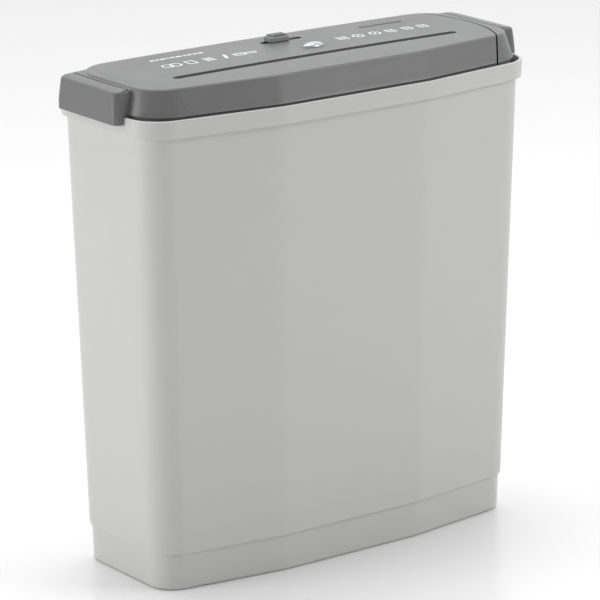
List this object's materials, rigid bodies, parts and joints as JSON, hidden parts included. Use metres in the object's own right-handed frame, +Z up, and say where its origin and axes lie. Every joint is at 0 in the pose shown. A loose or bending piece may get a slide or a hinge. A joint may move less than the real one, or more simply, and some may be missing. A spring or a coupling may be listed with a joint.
{
  "type": "paper shredder",
  "caption": "Strip-cut paper shredder: a crowned motor head with a sheet slot and slide switch sits in the rim of a tall tapered waste bin and lifts off to empty it.",
  "frame": {"origin": "centre of the bin's underside, on the ground", "axes": "+Z up, +X along the paper slot to the right as seen from the front, front faces -Y"},
  "size_m": [0.3246, 0.1366, 0.3385],
  "materials": {
    "bin_plastic": "satin moulded plastic, pale warm grey",
    "head_plastic": "satin moulded plastic, mid grey, fine grain",
    "dark_plastic": "moulded plastic, charcoal",
    "knob_plastic": "moulded plastic, mid grey, ribbed",
    "lens_plastic": "clear polished acrylic",
    "nylon": "natural nylon",
    "board": "green resist over glass epoxy",
    "soft_black": "soft black moulding",
    "ferrite": "sintered ferrite",
    "steel": "zinc-plated",
    "plate_steel": "pressed zinc-plated sheet",
    "tool_steel": "hardened, oiled",
    "bronze": "sintered bronze"
  },
  "bodies": {
    "bin": {"waste_bin": "bin_plastic"},
    "head": {"lower_housing": "dark_plastic", "top_cover": "head_plastic", "left_end_cap": "head_plastic", "right_end_cap": "head_plastic", "paper_guide": "dark_plastic", "indicator_lens": "lens_plastic", "mode_switch": "dark_plastic", "sensor_switch": "dark_plastic", "sensor_pin": "steel", "left_side_plate": "plate_steel", "right_side_plate": "plate_steel", "tie_rods": "steel", "cutter_bushes": "bronze", "front_comb": "dark_plastic", "rear_comb": "dark_plastic", "motor_can": "plate_steel", "motor_end_bell": "dark_plastic", "motor_magnets": "ferrite", "first_axle": "steel", "second_axle": "steel", "gearbox_cover": "plate_steel", "gearbox_pillars": "steel", "control_board": "board", "board_components": "dark_plastic", "cord_gland": "soft_black", "frame_feet": "steel", "frame_screws": "steel", "cap_screws": "steel", "cover_screws": "steel", "motor_screws": "steel", "gearbox_screws": "steel", "board_screws": "steel"},
    "front_cutter": {"front_cutter_shaft": "tool_steel", "front_cutter_discs": "tool_steel", "front_sync_gear": "tool_steel"},
    "rear_cutter": {"rear_cutter_shaft": "tool_steel", "rear_cutter_discs": "tool_steel", "rear_sync_gear": "tool_steel", "cutter_drive_gear": "tool_steel"},
    "motor_rotor": {"motor_shaft": "steel", "motor_armature": "tool_steel", "motor_fan": "nylon", "motor_pinion": "bronze"},
    "first_gear": {"first_gear": "nylon"},
    "second_gear": {"second_gear": "nylon"},
    "knob": {"mode_knob": "knob_plastic"},
    "sensor": {"sensor_lever": "nylon"}
  },
  "joints": [
    {"name": "head_lift", "type": "slide", "parent": "bin", "child": "head", "axis": [0, 0, 1], "range_m": [0, 0.12]},
    {"name": "rear_cutter_spin", "type": "hinge", "parent": "head", "child": "rear_cutter", "pos_m": [0, -0.01005, 0.288], "axis": [1, 0, 0], "continuous": true},
    {"name": "front_cutter_spin", "type": "hinge", "parent": "head", "child": "front_cutter", "pos_m": [0, -0.03555, 0.288], "axis": [1, 0, 0], "continuous": true},
    {"name": "second_gear_spin", "type": "hinge", "parent": "head", "child": "second_gear", "pos_m": [0, 0.02365, 0.28977], "axis": [1, 0, 0], "continuous": true},
    {"name": "first_gear_spin", "type": "hinge", "parent": "head", "child": "first_gear", "pos_m": [0, 0.00778, 0.26792], "axis": [1, 0, 0], "continuous": true},
    {"name": "motor_spin", "type": "hinge", "parent": "head", "child": "motor_rotor", "pos_m": [0, 0.03019, 0.27393], "axis": [1, 0, 0], "continuous": true},
    {"name": "mode_slide", "type": "slide", "parent": "head", "child": "knob", "axis": [1, 0, 0], "range_m": [-0.004, 0.011]},
    {"name": "sensor_press", "type": "hinge", "parent": "head", "child": "sensor", "pos_m": [0, -0.012, 0.313], "axis": [1, 0, 0], "range_deg": [0, 30], "stiffness_Nm_per_rad": 0.002, "springref_deg": -11.46}
  ],
  "couplings": [
    {"joint": "front_cutter_spin", "follows": "rear_cutter_spin", "ratio": -1},
    {"joint": "second_gear_spin", "follows": "rear_cutter_spin", "ratio": -2.8571},
    {"joint": "first_gear_spin", "follows": "rear_cutter_spin", "ratio": 8.1633},
    {"joint": "motor_spin", "follows": "rear_cutter_spin", "ratio": -25.656}
  ]
}
